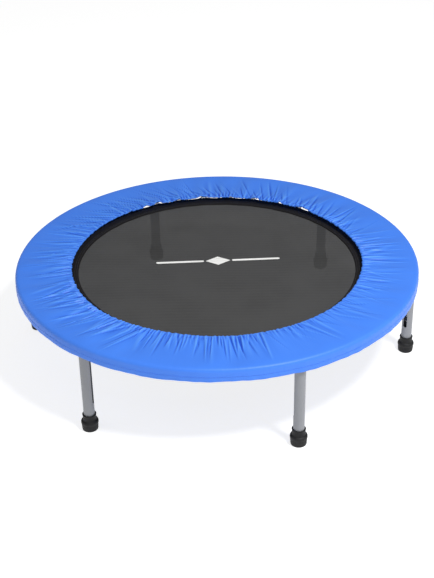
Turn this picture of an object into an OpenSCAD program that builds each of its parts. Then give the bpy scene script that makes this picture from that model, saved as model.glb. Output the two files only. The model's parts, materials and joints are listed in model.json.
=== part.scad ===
// Mini trampoline: a ring of steel tube on six folding legs, a mat hung in it by coil springs,
// and a gathered fabric cover over the springs.
// Millimetres. +Z is up. The origin is on the floor, under the centre of the ring.

/* [Frame ring] */
// Outer diameter of the ring, over its tube
frame_d = 949; // [800:1:1400]
// Height of the top of the ring above the floor
frame_h = 226; // [200:0.5:320]
// Outer diameter of the ring's tube
tube_d = 25; // [20:0.5:32]
// Wall of the ring's tube
tube_wall = 1.5; // [1:0.1:2.5]

/* [Legs] */
// Outer diameter of a leg's tube
leg_d = 25; // [24:0.5:32]
// Wall of a leg's tube
leg_wall = 1.2; // [0.8:0.1:2]
// Direction of the first leg, counted from +X
first_leg_angle = 231.6; // [0:0.1:360]
// How far a leg's folding direction turns inwards from the ring's tangent
fold_turn = 27; // [5:0.5:35]
// Gap between a bracket and each side of the slot down a leg
slot_clear = 0.5; // [0.3:0.1:2]
// Height of the slot's lower end above the floor
slot_end_h = 69; // [50:1:100]
// Diameter of the pin that a leg folds about
pivot_pin_d = 6; // [5:0.5:8]
// Diameter of the pin that holds the lower end of a leg's spring
anchor_pin_d = 4; // [3:0.5:6]
// Height of that pin above the slot's lower end
anchor_rise = 13; // [8:1:30]
// Gap between a folded foot and what it folds under
fold_clear = 2.5; // [1:0.5:8]

/* [Leg brackets] */
// Thickness of the seat that a leg's top bears on
seat_t = 3; // [2:0.5:6]
// Gap between a leg's top and its seat
seat_clear = 0.3; // [0.2:0.1:1]
// Thickness of each of a bracket's two cheeks
cheek_t = 2; // [1.5:0.1:2.5]
// Gap between the two cheeks
cheek_gap = 4; // [3:0.1:5]
// Diameter of the rivet that holds the upper end of a leg's spring
spring_rivet_d = 3; // [2:0.5:4]
// Metal between the pivot's hole and that rivet
rivet_land = 1.7; // [1:0.1:3]
// Metal between that rivet and the cheek's edge
rivet_edge = 1.2; // [1:0.1:2]

/* [Leg springs] */
// Outer diameter of a leg's spring
leg_spring_d = 10; // [7:0.5:14]
// Diameter of its wire
leg_wire_d = 1.6; // [1:0.1:2]
// Length of the straight end between its coil and each hook
leg_spring_end = 9; // [5:1:20]

/* [Feet] */
// Height of a rubber foot
foot_h = 40.5; // [30:0.5:60]
// Rubber under the end of a leg's tube
foot_floor = 6; // [3:0.5:10]
// Wall of the collar around a leg
foot_wall = 2.5; // [1.5:0.1:5]
// How far the foot's rim stands out from a leg
foot_rim_w = 7; // [5:0.5:12]
// How far the foot's base stands out from a leg, at its top
foot_base_w = 6; // [3:0.5:9]
// How far the foot's base stands out from a leg, at the floor
foot_sole_w = 5; // [2:0.5:8]
// Height of the base under the rim
foot_base_h = 15; // [8:0.5:20]
// Height of the rim
foot_rim_h = 9; // [5:0.5:14]

/* [Mat] */
// Gap between the ring's tube and the mat, which the springs cross
spring_gap = 76.5; // [65:0.5:110]
// Depth of the mat's middle below the top of the ring
mat_drop = 16.5; // [14:0.5:24]
// Thickness of the mat's mesh
mesh_t = 1.2; // [0.8:0.1:3]
// Width of the webbing band around the mesh
band_w = 41; // [25:1:60]
// Thickness of the band
band_t = 4; // [3.6:0.2:8]
// How far the mesh reaches into the band
mesh_lap = 10; // [5:1:20]

/* [Mat springs] */
// Number of springs
spring_count = 36; // [24:1:42]
// Direction of the first spring, counted from +X
first_spring_angle = 5; // [0:0.5:15]
// Outer diameter of a spring
spring_d = 12.5; // [10:0.5:14]
// Diameter of its wire
spring_wire_d = 2.2; // [1.6:0.1:2.6]
// Radius of the hook that drops into the ring, to the middle of its wire
ring_hook_r = 6; // [5:0.5:8]
// Diameter of the holes in the ring
hook_hole_d = 5; // [4:0.5:7]
// Diameter of the wire of the mat's triangular rings
loop_wire_d = 2.6; // [2:0.1:3.4]
// How far a triangular ring stands out of the band
loop_reach = 11; // [9:0.5:20]
// How far it reaches into the band
loop_depth = 7; // [5:0.5:20]
// Length of its side inside the band
loop_base = 28; // [22:1:36]

/* [Cover] */
// Thickness of the cover's fabric
cover_t = 1.2; // [0.8:0.1:3]
// Gap between the cover and the top of the ring
cover_lift = 0.8; // [0.3:0.1:4]
// How far the cover reaches in over the mat
cover_overlap = 26; // [10:1:60]
// Height of the cover from its lower edge to its top
skirt_h = 31.5; // [28:0.5:60]
// Rounding of its outer top edge
cover_round = 8; // [3:0.5:10]
// Width of the hems, inner and outer
hem_w = 14; // [12:0.5:24]
// Gap between the lower hem and the legs or ring
hem_gap = 1.1; // [0.5:0.1:5]
// Width of the flat elastic in each hem
elastic_w = 8; // [5:0.5:9]
// Thickness of the elastic
elastic_t = 1.6; // [1:0.1:3]

/* [Hidden] */
$fn = 96;
leg_count = 6;
// Which way round the ring each leg folds: 1 is counterclockwise seen from above
fold_way = [1, -1, -1, 1, -1, -1];
fit_clear = 0.1;     // around what is pushed or sewn into place
pin_clear = 0.1;     // around a turning pin, in radius
hook_clear = 0.2;    // around a hook's wire
eps = 1;             // how far a cut runs past what it cuts

ring_r = (frame_d - tube_d) / 2;
ring_z = frame_h - tube_d / 2;
ring_bottom = frame_h - tube_d;
rim_r = ring_r + max(tube_d, leg_d) / 2;

hem_h = 2 * cover_t + elastic_t + 4 * fit_clear;
cover_top = frame_h + cover_lift + cover_t;
cover_r = rim_r + hem_gap + hem_h;
hem_z = cover_top - skirt_h;

mat_z = frame_h - mat_drop;
mat_r = frame_d / 2 - tube_d - spring_gap;
cover_in_r = mat_r - cover_overlap;

loop_bend_r = loop_wire_d / 2 + spring_wire_d;

leg_bore = leg_d - 2 * leg_wall;
foot_rim_d = leg_d + 2 * foot_rim_w;
pivot_z = min(hem_z, ring_bottom) - fold_clear - foot_rim_d / 2;
seat_z = ring_bottom - seat_t;
leg_top = seat_z - seat_clear;
bracket_t = 2 * cheek_t + cheek_gap;
slot_w = bracket_t + 2 * slot_clear;
rivet_drop = pivot_pin_d / 2 + pin_clear + rivet_land + spring_rivet_d / 2;
bracket_w = 2 * (rivet_drop + spring_rivet_d / 2 + rivet_edge);
rivet_z = pivot_z - rivet_drop;
anchor_z = slot_end_h + anchor_rise;

// Points along an arc, from angle a to angle b
function arc(centre, r, a, b, steps = 8) =
    [for (i = [0 : steps]) centre + r * [cos(a + (b - a) * i / steps), sin(a + (b - a) * i / steps)]];

// Places its children at one leg: the leg's axis is Z, and the leg folds towards +X
module at_leg(i) {
    rotate([0, 0, first_leg_angle + (i - 1) * 360 / leg_count])
        translate([ring_r, 0, 0])
            rotate([0, 0, fold_way[i - 1] * (90 + fold_turn)]) children();
}

// Repeats its children at every spring, with +X pointing outwards
module at_springs() {
    for (i = [0 : spring_count - 1])
        rotate([0, 0, first_spring_angle + i * 360 / spring_count]) children();
}

// A close-wound coil as a plain tube
module coil_tube(d, wire_d, length) {
    difference() {
        cylinder(d = d, h = length);
        translate([0, 0, -eps]) cylinder(d = d - 2 * wire_d, h = length + 2 * eps);
    }
}

// The outline of an eye about the origin and of a bar across the coil, at bar_x, that carries it
function eye_outline(r, w, bar_x, bar_h) = let (gap = asin(w / 2 / (r + w / 2))) concat(
    arc([0, 0], r + w / 2, gap, 360 - gap, 16),
    [[bar_x, -w / 2], [bar_x, -bar_h / 2], [bar_x + w, -bar_h / 2],
     [bar_x + w, bar_h / 2], [bar_x, bar_h / 2], [bar_x, w / 2]]
);

// An eye of square wire about the Y axis, with its bar at +X
module spring_eye(r, w, bar_x, bar_h) {
    rotate([90, 0, 0]) linear_extrude(w, center = true) difference() {
        polygon(eye_outline(r, w, bar_x, bar_h));
        circle(r = r - w / 2);
    }
}

// ---- frame ----

// The hooks' holes point at the middle of the tube, 45 degrees above level
module frame_ring() {
    color("silver") difference() {
        translate([0, 0, ring_z]) rotate_extrude() translate([ring_r, 0]) circle(d = tube_d);
        translate([0, 0, ring_z]) rotate_extrude() translate([ring_r, 0]) circle(d = tube_d - 2 * tube_wall);
        at_springs() translate([ring_r, 0, ring_z]) rotate([0, -45, 0])
            cylinder(d = hook_hole_d, h = tube_d / 2 + eps);
    }
}

// A saddle under the ring, with two cheeks that hang down inside the leg
module leg_bracket(i) {
    color("dimgray") difference() {
        union() {
            at_leg(i) translate([0, 0, seat_z])
                cylinder(d = leg_d, h = ring_z - tube_d / 4 - seat_z);
            at_leg(i) bracket_cheeks();
        }
        translate([0, 0, ring_z]) rotate_extrude() translate([ring_r, 0])
            circle(d = tube_d + 2 * fit_clear);
        at_leg(i) translate([0, 0, pivot_z]) rotate([90, 0, 0])
            cylinder(d = pivot_pin_d + 2 * pin_clear, h = leg_d, center = true);
    }
}

module bracket_cheeks() {
    difference() {
        union() {
            translate([-bracket_w / 2, -bracket_t / 2, pivot_z])
                cube([bracket_w, bracket_t, seat_z - pivot_z]);
            translate([0, 0, pivot_z]) rotate([90, 0, 0])
                cylinder(d = bracket_w, h = bracket_t, center = true);
        }
        translate([-leg_d / 2, -cheek_gap / 2, pivot_z - leg_d])
            cube([leg_d, cheek_gap, seat_z - pivot_z + leg_d]);
    }
    translate([0, 0, rivet_z]) rotate([90, 0, 0])
        cylinder(d = spring_rivet_d, h = bracket_t - cheek_t, center = true);
}

// ---- legs ----

// The half of the leg's top that faces the fold is cut to an arc about the pivot,
// so that it swings past the seat. The other half bears on the seat and is the stop.
module leg_tube(i) {
    reach = leg_top - pivot_z;
    color("silver") at_leg(i) difference() {
        translate([0, 0, foot_floor]) cylinder(d = leg_d, h = leg_top - foot_floor);
        translate([0, 0, foot_floor - eps]) cylinder(d = leg_bore, h = leg_top - foot_floor + 2 * eps);
        translate([0, -slot_w / 2, slot_end_h + slot_w / 2]) cube([leg_d, slot_w, leg_top]);
        translate([0, 0, slot_end_h + slot_w / 2]) rotate([0, 90, 0]) cylinder(d = slot_w, h = leg_d);
        difference() {
            translate([0, -leg_d, pivot_z]) cube([leg_d, 2 * leg_d, reach + eps]);
            translate([0, 0, pivot_z]) rotate([90, 0, 0]) cylinder(r = reach, h = 3 * leg_d, center = true);
        }
        translate([0, 0, pivot_z]) rotate([90, 0, 0]) cylinder(d = pivot_pin_d, h = 2 * leg_d, center = true);
        translate([0, 0, anchor_z]) rotate([90, 0, 0])
            cylinder(d = anchor_pin_d, h = 2 * leg_d, center = true);
    }
}

// A pin through both walls of a leg, with its ends dressed flush with the tube
module flush_pin(z, d) {
    intersection() {
        translate([0, 0, z]) rotate([90, 0, 0]) cylinder(d = d, h = 2 * leg_d, center = true);
        translate([0, 0, z - leg_d]) cylinder(d = leg_d, h = 2 * leg_d);
    }
}

module leg_pivot_pin(i) {
    color("gray") at_leg(i) flush_pin(pivot_z, pivot_pin_d);
}

module leg_anchor_pin(i) {
    color("gray") at_leg(i) flush_pin(anchor_z, anchor_pin_d);
}

// The coil is one plain tube of the wire's thickness, with a bar in each end that carries an eye
module leg_spring(i) {
    low_eye_r = (anchor_pin_d + leg_wire_d) / 2 + hook_clear;
    top_eye_r = (spring_rivet_d + leg_wire_d) / 2 + hook_clear;
    low = anchor_z + low_eye_r + leg_spring_end;
    high = rivet_z - top_eye_r - leg_spring_end;
    bar_h = leg_spring_d - leg_wire_d;
    inset = leg_wire_d / 2;
    color("lightgray") at_leg(i) {
        translate([0, 0, anchor_z]) rotate([0, -90, 0])
            spring_eye(low_eye_r, leg_wire_d, low + inset - anchor_z, bar_h);
        translate([0, 0, low]) coil_tube(leg_spring_d, leg_wire_d, high - low);
        translate([0, 0, rivet_z]) rotate([0, 90, 0])
            spring_eye(top_eye_r, leg_wire_d, rivet_z - high + inset, bar_h);
    }
}

// A rubber cup: a tapered base, a rounded rim and a collar around the leg
module leg_foot(i) {
    rim_r0 = leg_d / 2 + foot_rim_w;
    collar_r = leg_d / 2 + foot_wall;
    rim_bulge = foot_rim_h / 2;
    color("black") at_leg(i) difference() {
        rotate_extrude() polygon(concat(
            [[0, 0], [leg_d / 2 + foot_sole_w, 0], [leg_d / 2 + foot_base_w, foot_base_h]],
            [for (a = [-60 : 20 : 60])
                [rim_r0 - 2 * (1 - cos(a)), foot_base_h + rim_bulge * (1 + sin(a) / sin(60))]],
            [[collar_r + 0.5, foot_base_h + foot_rim_h], [collar_r, foot_h], [0, foot_h]]
        ));
        translate([0, 0, foot_floor]) cylinder(d = leg_d + 2 * fit_clear, h = foot_h);
    }
}

// ---- mat ----

module mat_mesh() {
    color([0.3, 0.3, 0.3]) translate([0, 0, mat_z - mesh_t / 2])
        cylinder(r = mat_r - band_w + mesh_lap, h = mesh_t, $fn = 180);
}

// Two plies of webbing, with the edge of the mesh between them
module mat_band() {
    color([0.1, 0.1, 0.1]) translate([0, 0, mat_z]) rotate_extrude($fn = 180) difference() {
        translate([mat_r - band_w, -band_t / 2]) square([band_w, band_t]);
        translate([mat_r - band_w - eps, -mesh_t / 2 - fit_clear])
            square([mesh_lap + fit_clear + eps, mesh_t + 2 * fit_clear]);
    }
}

// The outline of a triangular ring at a given distance outside its bends' centres
function loop_outline(r) = let (
    tip = [mat_r + loop_reach - loop_bend_r, 0],
    foot = [mat_r - loop_depth + loop_bend_r, loop_base / 2 - loop_bend_r],
    side = atan2(tip[0] - foot[0], foot[1])
) concat(
    arc(tip, r, -side, side, 6),
    arc(foot, r, side, 180, 6),
    arc([foot[0], -foot[1]], r, 180, 360 - side, 6)
);

// A triangular ring at each spring, sewn into the edge of the band, with its wire cut square
module mat_loops() {
    color("silver") at_springs() translate([0, 0, mat_z - loop_wire_d / 2])
        linear_extrude(loop_wire_d) difference() {
            polygon(loop_outline(loop_bend_r + loop_wire_d / 2));
            polygon(loop_outline(loop_bend_r - loop_wire_d / 2));
        }
}

// The bar in the coil's outer end, and the hook that rises from it, curls over and points down
function spring_hook_outline(bar_x, bar_h, bend_c, bend_r, hook_c) = let (w = spring_wire_d) concat(
    [[bar_x, mat_z + bar_h / 2], [bar_x, mat_z - bar_h / 2],
     [bar_x + w, mat_z - bar_h / 2], [bar_x + w, mat_z - w / 2]],
    arc(bend_c, bend_r + w / 2, 270, 360, 4),
    arc(hook_c, ring_hook_r - w / 2, 180, 0, 9),
    arc(hook_c, ring_hook_r + w / 2, 0, 180, 9),
    arc(bend_c, bend_r - w / 2, 360, 270, 4),
    [[bar_x + w, mat_z + w / 2], [bar_x + w, mat_z + bar_h / 2]]
);

// Each coil is one plain tube of the wire's thickness. Its inner eye clears the corners of a
// triangular ring's tip, and its outer hook drops into the ring's hole. Both have square wire.
module mat_springs() {
    inset = (1 - sqrt(3) / 2) * spring_wire_d;
    eye_r = norm([loop_wire_d / 2 + inset, loop_wire_d / 2]) + spring_wire_d / 2 + hook_clear;
    eye_x = mat_r + loop_reach;
    hole = [ring_r, ring_z] + tube_d / 2 * [-cos(45), sin(45)];
    hook_c = hole - ring_hook_r * [cos(45), sin(45)];
    bend_r = spring_wire_d * 1.3;
    bend_c = [hook_c[0] - ring_hook_r - bend_r, mat_z + bend_r];
    coil_in = eye_x + eye_r + spring_wire_d;
    coil_out = bend_c[0];
    bar_h = spring_d - spring_wire_d;
    color("lightgray") at_springs() {
        translate([eye_x, 0, mat_z])
            spring_eye(eye_r, spring_wire_d, coil_in + spring_wire_d / 2 - eye_x, bar_h);
        translate([coil_in, 0, mat_z]) rotate([0, 90, 0])
            coil_tube(spring_d, spring_wire_d, coil_out - coil_in);
        rotate([90, 0, 0]) linear_extrude(spring_wire_d, center = true)
            polygon(spring_hook_outline(coil_out - 1.5 * spring_wire_d, bar_h, bend_c, bend_r, hook_c));
    }
}

// ---- cover ----

// A hem as a fold of fabric around the flat elastic. The outline runs from the outer face, which is
// Y = 0, round the closed edge at X = 0 and back to the inner face. The slit is where it is stitched.
function hem_outline() = let (fold_r = hem_h / 2, centre = [fold_r, -fold_r]) concat(
    arc(centre, fold_r, 90, 270),
    [[hem_w, -hem_h], [hem_w, -cover_t - fit_clear],
     [hem_w - cover_t, -cover_t - fit_clear], [hem_w - cover_t, -hem_h + cover_t]],
    arc(centre, fold_r - cover_t, 270, 90)
);

module cover() {
    hem = hem_outline();
    corner = [cover_r, cover_top] - [cover_round, cover_round];
    color("royalblue") rotate_extrude($fn = 180) polygon(concat(
        arc(corner, cover_round, 90, 0),
        [for (p = hem) [cover_r + p[1], hem_z + p[0]]],
        arc(corner, cover_round - cover_t, 0, 90),
        [for (i = [len(hem) - 1 : -1 : 0]) [cover_in_r, cover_top] + hem[i]]
    ));
}

// Flat elastic inside the inner hem, lying level
module cover_inner_elastic() {
    color("black") translate([0, 0, cover_top - cover_t - 2 * fit_clear - elastic_t])
        rotate_extrude($fn = 180) translate([cover_in_r + hem_h / 2, 0]) square([elastic_w, elastic_t]);
}

// Flat elastic inside the lower hem, standing on edge
module cover_outer_elastic() {
    color("black") translate([0, 0, hem_z + hem_h / 2])
        rotate_extrude($fn = 180) translate([cover_r - cover_t - 2 * fit_clear - elastic_t, 0])
            square([elastic_t, elastic_w]);
}

frame_ring();
mat_mesh();
mat_band();
mat_loops();
mat_springs();
cover();
cover_inner_elastic();
cover_outer_elastic();
for (i = [1 : leg_count]) {
    leg_bracket(i);
    leg_tube(i);
    leg_foot(i);
    leg_pivot_pin(i);
    leg_anchor_pin(i);
    leg_spring(i);
}
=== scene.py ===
import json
import math
import bmesh
import bpy
import numpy as np
from mathutils import Matrix, Vector


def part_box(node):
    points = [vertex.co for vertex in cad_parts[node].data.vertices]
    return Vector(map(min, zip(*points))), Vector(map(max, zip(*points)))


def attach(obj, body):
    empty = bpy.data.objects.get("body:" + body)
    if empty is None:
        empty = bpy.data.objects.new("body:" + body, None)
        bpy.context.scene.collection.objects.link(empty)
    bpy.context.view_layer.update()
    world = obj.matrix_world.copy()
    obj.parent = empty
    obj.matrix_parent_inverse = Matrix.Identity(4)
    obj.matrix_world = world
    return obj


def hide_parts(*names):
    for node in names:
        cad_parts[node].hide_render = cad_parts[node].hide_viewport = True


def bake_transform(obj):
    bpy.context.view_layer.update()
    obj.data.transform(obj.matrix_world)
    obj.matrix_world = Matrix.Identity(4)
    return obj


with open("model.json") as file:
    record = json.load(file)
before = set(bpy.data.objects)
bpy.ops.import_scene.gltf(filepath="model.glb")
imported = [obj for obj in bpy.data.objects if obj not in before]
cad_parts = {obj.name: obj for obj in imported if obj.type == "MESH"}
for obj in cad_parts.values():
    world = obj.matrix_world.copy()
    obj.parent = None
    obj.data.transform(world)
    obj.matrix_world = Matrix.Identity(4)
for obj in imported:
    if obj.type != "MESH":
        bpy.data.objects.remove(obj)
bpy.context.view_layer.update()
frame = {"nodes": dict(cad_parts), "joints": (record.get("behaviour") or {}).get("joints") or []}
joints = {joint["name"]: joint for joint in frame["joints"]}


def linear(hexCode):
    # sRGB hex to linear: c / 12.92 below 0.04045, otherwise ((c + 0.055) / 1.055) to the power 2.4
    channels = [int(hexCode[k:k + 2], 16) / 255 for k in (0, 2, 4)]
    return tuple(c / 12.92 if c <= 0.04045 else ((c + 0.055) / 1.055) ** 2.4 for c in channels) + (1.0,)


def addNode(tree, kind, settings=None, links=None):
    # Adds one node. A setting is one of its properties, or else an input; a link is input: source output.
    node = tree.nodes.new(kind)
    for key, value in (settings or {}).items():
        if isinstance(key, str) and hasattr(node, key):
            setattr(node, key, value)
        else:
            node.inputs[key].default_value = value
    for key, source in (links or {}).items():
        tree.links.new(source, node.inputs[key])
    return node


def newMaterial(name, colour, roughness, settings=None):
    # A material with its surface shader: colour as sRGB hex, roughness, and other inputs by name
    material = bpy.data.materials.new(name)
    material.use_nodes = True
    tree = material.node_tree
    shader = tree.nodes["Principled BSDF"]
    shader.inputs["Base Color"].default_value = linear(colour)
    shader.inputs["Roughness"].default_value = roughness
    for key, value in (settings or {}).items():
        shader.inputs[key].default_value = value
    return material, tree, shader


def gridMesh(name, points, material, around=True, along=False, flip=False, uv=None, weld=False):
    # Quads between the neighbouring points of a grid of rows and columns; around closes each row on itself
    # and along closes each column. uv has one row or column more where the grid is closed.
    rows, columns = points.shape[:2]
    i, j = np.meshgrid(np.arange(rows if along else rows - 1),
                       np.arange(columns if around else columns - 1), indexing="ij")
    i2, j2 = i + 1, j + 1
    corners = [(i, j), (i, j2), (i2, j2), (i2, j)]
    if flip:
        corners = corners[::-1]
    quads = np.stack([(a % rows) * columns + b % columns for a, b in corners], axis=-1).reshape(-1, 4)
    mesh = bpy.data.meshes.new(name)
    mesh.from_pydata(points.reshape(-1, 3), [], quads)
    mesh.shade_smooth()
    if uv is not None:
        flat = np.stack([uv[a, b] for a, b in corners], axis=-2).reshape(-1, 2)
        layer = mesh.uv_layers.new(name="UVMap")
        layer.data.foreach_set("uv", flat.astype(np.float32).ravel())
    if weld:
        weldMesh(mesh)
    return addPiece(name, mesh, material)


def weldMesh(mesh):
    # Merges the points that meet at a pole or a seam
    work = bmesh.new()
    work.from_mesh(mesh)
    bmesh.ops.remove_doubles(work, verts=work.verts, dist=1e-6)
    work.to_mesh(mesh)
    work.free()
    mesh.shade_smooth()


def addPiece(name, mesh, material):
    # An object at the origin, unturned, from a mesh and its one material
    piece = bpy.data.objects.new(name, mesh)
    bpy.context.scene.collection.objects.link(piece)
    mesh.materials.append(material)
    return piece


def tubeGrid(path, radius, sides=8, closed=False):
    # Point = path + radius (cos a N + sin a B). N starts across the path and is carried along it without
    # twist; B is the tangent crossed with N. An open tube gets a domed end of two rings and a tip.
    if closed:
        tangent = np.roll(path, -1, axis=0) - np.roll(path, 1, axis=0)
    else:
        tangent = np.gradient(path, axis=0)
    tangent /= np.linalg.norm(tangent, axis=1)[:, None]
    across = np.empty_like(path)
    carried = np.cross(tangent[0], (0.3, 0.5, 0.81))
    for k, way in enumerate(tangent):
        carried = carried - way * (carried @ way)
        carried = carried / np.linalg.norm(carried)
        across[k] = carried
    angle = np.linspace(0, 2 * np.pi, sides, endpoint=False)[None, :, None]
    ring = np.cos(angle) * across[:, None] + np.sin(angle) * np.cross(tangent, across)[:, None]
    size = np.full(len(path), float(radius))
    if not closed:
        dome = radius * np.array([[1.0, 0.0], [0.7, 0.7]])  # forward, sideways
        start = [path[0] - tangent[0] * f for f, _ in dome]
        end = [path[-1] + tangent[-1] * f for f, _ in dome[::-1]]
        path = np.vstack([start, path, end])
        ring = np.concatenate([ring[:1], ring[:1], ring, ring[-1:], ring[-1:]])
        size = np.concatenate([dome[:, 1], size, dome[::-1, 1]])
    return path[:, None] + size[:, None, None] * ring


def copies(grid, places):
    # One grid of points for each 4 x 4 matrix in places, stacked in a new first axis
    spots = np.concatenate([grid, np.ones(grid.shape[:-1] + (1,))], axis=-1)
    return np.einsum("kab,rcb->krca", places, spots)[..., :3]


def manyGrids(name, grids, material, along=False):
    # The same as gridMesh, for a stack of equal grids that are closed round each row
    count, rows, columns = grids.shape[:3]
    i, j = np.meshgrid(np.arange(rows if along else rows - 1), np.arange(columns), indexing="ij")
    corners = [(i, j), (i, j + 1), (i + 1, j + 1), (i + 1, j)]
    quads = np.stack([(a % rows) * columns + b % columns for a, b in corners], axis=-1).reshape(-1, 4)
    quads = (quads[None] + (np.arange(count) * rows * columns)[:, None, None]).reshape(-1, 4)
    mesh = bpy.data.meshes.new(name)
    mesh.from_pydata(grids.reshape(-1, 3), [], quads)
    weldMesh(mesh)
    return addPiece(name, mesh, material)


def turned(angle, offset=(0, 0, 0)):
    # A turn about Z after a shift, as a 4 x 4 matrix
    return np.array(Matrix.Rotation(angle, 4, "Z") @ Matrix.Translation(offset))


def smooth(x):
    # 0 up to 0, 1 from 1 on, and 3 x squared less 2 x cubed between
    x = np.clip(x, 0, 1)
    return x * x * (3 - 2 * x)


def polar(radius, angle, height):
    # x = radius cos angle, y = radius sin angle, z = height, for arrays that fit each other
    radius, angle, height = np.broadcast_arrays(radius, angle, height)
    return np.stack([radius * np.cos(angle), radius * np.sin(angle), height], axis=-1)


def arcPath(centre, radius, start, end, count):
    # Points on an arc in the XZ plane, angles in degrees from +X towards +Z
    angle = np.radians(np.linspace(start, end, count))
    x, z = centre[0] + radius * np.cos(angle), centre[1] + radius * np.sin(angle)
    return np.stack([x, 0 * angle, z], axis=-1)


def stitchRow(name, starts, ends, radius, material, sides=6):
    # One short thread from each start to its end: a tube whose ends dip, closed at both tips
    along = (ends - starts)[:, None, None]
    length = np.linalg.norm(ends - starts, axis=1)[:, None]
    way = (ends - starts) / length
    up = np.array([0.0, 0.0, 1.0]) - way * way[:, 2:3]
    up /= np.linalg.norm(up, axis=1)[:, None]
    side = np.cross(way, up)
    t = np.array([0.0, 0.04, 0.3, 0.7, 0.96, 1.0])
    size = radius * np.array([0.0, 0.7, 1.0, 1.0, 0.7, 0.0])
    lift = radius * np.array([-0.8, -0.4, 0.35, 0.35, -0.4, -0.8])
    angle = np.linspace(0, 2 * np.pi, sides, endpoint=False)
    centre = (starts[:, None, None] + along * t[None, :, None, None]
              + up[:, None, None] * lift[None, :, None, None])
    ring = (np.cos(angle)[None, None, :, None] * up[:, None, None]
            + np.sin(angle)[None, None, :, None] * side[:, None, None])
    return manyGrids(name, centre + size[None, :, None, None] * ring, material)


# where things are, from the frame
coverLow, coverHigh = [Vector(v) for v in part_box("cover")]
bandLow, bandHigh = [Vector(v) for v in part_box("mat_band")]
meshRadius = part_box("mat_mesh")[1][0]
ringLow, ringHigh = [Vector(v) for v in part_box("frame_ring")]
coverRadius, coverTop, coverHem = coverHigh.x, coverHigh.z, coverLow.z
matRadius, matHeight = bandHigh.x, (bandLow.z + bandHigh.z) / 2
tubeRadius = (ringHigh.z - ringLow.z) / 2
ringRadius, ringHeight = ringHigh.x - tubeRadius, (ringLow.z + ringHigh.z) / 2
legs = []
for number in range(1, 7):
    joint = joints[f"leg_{number}_fold"]
    pivot, axis = Vector(joint["pos_m"]), Vector(joint["axis"])
    foldWay = axis.cross(Vector((0, 0, -1)))
    legs.append({"number": number, "body": f"leg_{number}", "pivot": pivot,
                 "angle": math.atan2(foldWay.y, foldWay.x)})
legLow, legHigh = [Vector(v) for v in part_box("leg_tube_1")]
legRadius = (legHigh.x - legLow.x) / 2
print("frame read: ring radius", round(ringRadius, 4), "cover radius", round(coverRadius, 4))


# the camera: place in metres, tilts in degrees, lens in mm
view = {"place": (0.0008, -2.3927, 1.5208), "down": 28.84, "roll": -1.036,
        "lens": 70.47, "shift": (-0.0004, -0.0386)}
cameraData = bpy.data.cameras.new("camera")
cameraData.sensor_width = 36
cameraData.lens = view["lens"]
cameraData.shift_x, cameraData.shift_y = view["shift"]
cameraData.clip_end = 60
camera = bpy.data.objects.new("camera", cameraData)
camera.matrix_world = (Matrix.Translation(view["place"])
                       @ Matrix.Rotation(math.radians(90 - view["down"]), 4, "X")
                       @ Matrix.Rotation(math.radians(view["roll"]), 4, "Z"))
bpy.context.scene.collection.objects.link(camera)
bpy.context.scene.camera = camera


# Powder-coated steel: silver-grey paint baked on over the tube. It looks satin, with a faint orange peel,
# a little metal fleck and a gloss that is rubbed uneven.
steelPaint = {"colour": "8d8f94", "pinColour": "8b8e93", "roughness": 0.36, "metallic": 0.12,
              "peelMm": 1.6, "flakeMm": 0.5, "gloss": (0.32, 0.46)}


def powderCoat(name, colour):
    # Tone = colour times 0.93 to 1.06 with the flake noise; gloss follows the wear noise, bump the peel
    material, tree, shader = newMaterial(name, colour, steelPaint["roughness"],
                                         {"Metallic": steelPaint["metallic"], "Specular IOR Level": 0.5})
    place = addNode(tree, "ShaderNodeTexCoord").outputs["Object"]
    peel = addNode(tree, "ShaderNodeTexNoise", {"Scale": 1000 / steelPaint["peelMm"], "Detail": 2.0},
                   {"Vector": place})
    flake = addNode(tree, "ShaderNodeTexNoise", {"Scale": 1000 / steelPaint["flakeMm"], "Detail": 1.0},
                    {"Vector": place})
    wearAndPaintedShade = addNode(tree, "ShaderNodeTexNoise", {"Scale": 38.0, "Detail": 4.0, "Roughness": 0.6},
                   {"Vector": place})
    base = linear(colour)
    tone = addNode(tree, "ShaderNodeValToRGB", None, {"Fac": flake.outputs["Fac"]})
    tone.color_ramp.elements[0].position, tone.color_ramp.elements[1].position = 0.3, 0.7
    tone.color_ramp.elements[0].color = tuple(c * 0.93 for c in base[:3]) + (1,)
    tone.color_ramp.elements[1].color = tuple(min(1, c * 1.06) for c in base[:3]) + (1,)
    tree.links.new(tone.outputs["Color"], shader.inputs["Base Color"])
    low, high = steelPaint["gloss"]
    gloss = addNode(tree, "ShaderNodeMapRange",
                    {"From Min": 0.3, "From Max": 0.7, "To Min": low, "To Max": high},
                    {"Value": wearAndPaintedShade.outputs["Fac"]})
    tree.links.new(gloss.outputs["Result"], shader.inputs["Roughness"])
    bump = addNode(tree, "ShaderNodeBump", {"Strength": 0.12, "Distance": 0.0002},
                   {"Height": peel.outputs["Fac"]})
    tree.links.new(bump.outputs["Normal"], shader.inputs["Normal"])
    return material


# Zinc-plated wire: drawn steel, bright, with the cloudy patches of a thin plating
def zincWire(name, colour, roughness):
    material, tree, shader = newMaterial(name, colour, roughness, {"Metallic": 1.0})
    place = addNode(tree, "ShaderNodeTexCoord").outputs["Object"]
    cloud = addNode(tree, "ShaderNodeTexNoise", {"Scale": 420.0, "Detail": 3.0}, {"Vector": place})
    gloss = addNode(tree, "ShaderNodeMapRange",
                    {"From Min": 0.3, "From Max": 0.7, "To Min": roughness * 0.75, "To Max": roughness * 1.4},
                    {"Value": cloud.outputs["Fac"]})
    tree.links.new(gloss.outputs["Result"], shader.inputs["Roughness"])
    tint = addNode(tree, "ShaderNodeValToRGB", None, {"Fac": cloud.outputs["Fac"]})
    base = linear(colour)
    tint.color_ramp.elements[0].color = tuple(c * 0.82 for c in base[:3]) + (1,)
    tint.color_ramp.elements[1].color = base
    tree.links.new(tint.outputs["Color"], shader.inputs["Base Color"])
    return material


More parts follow.
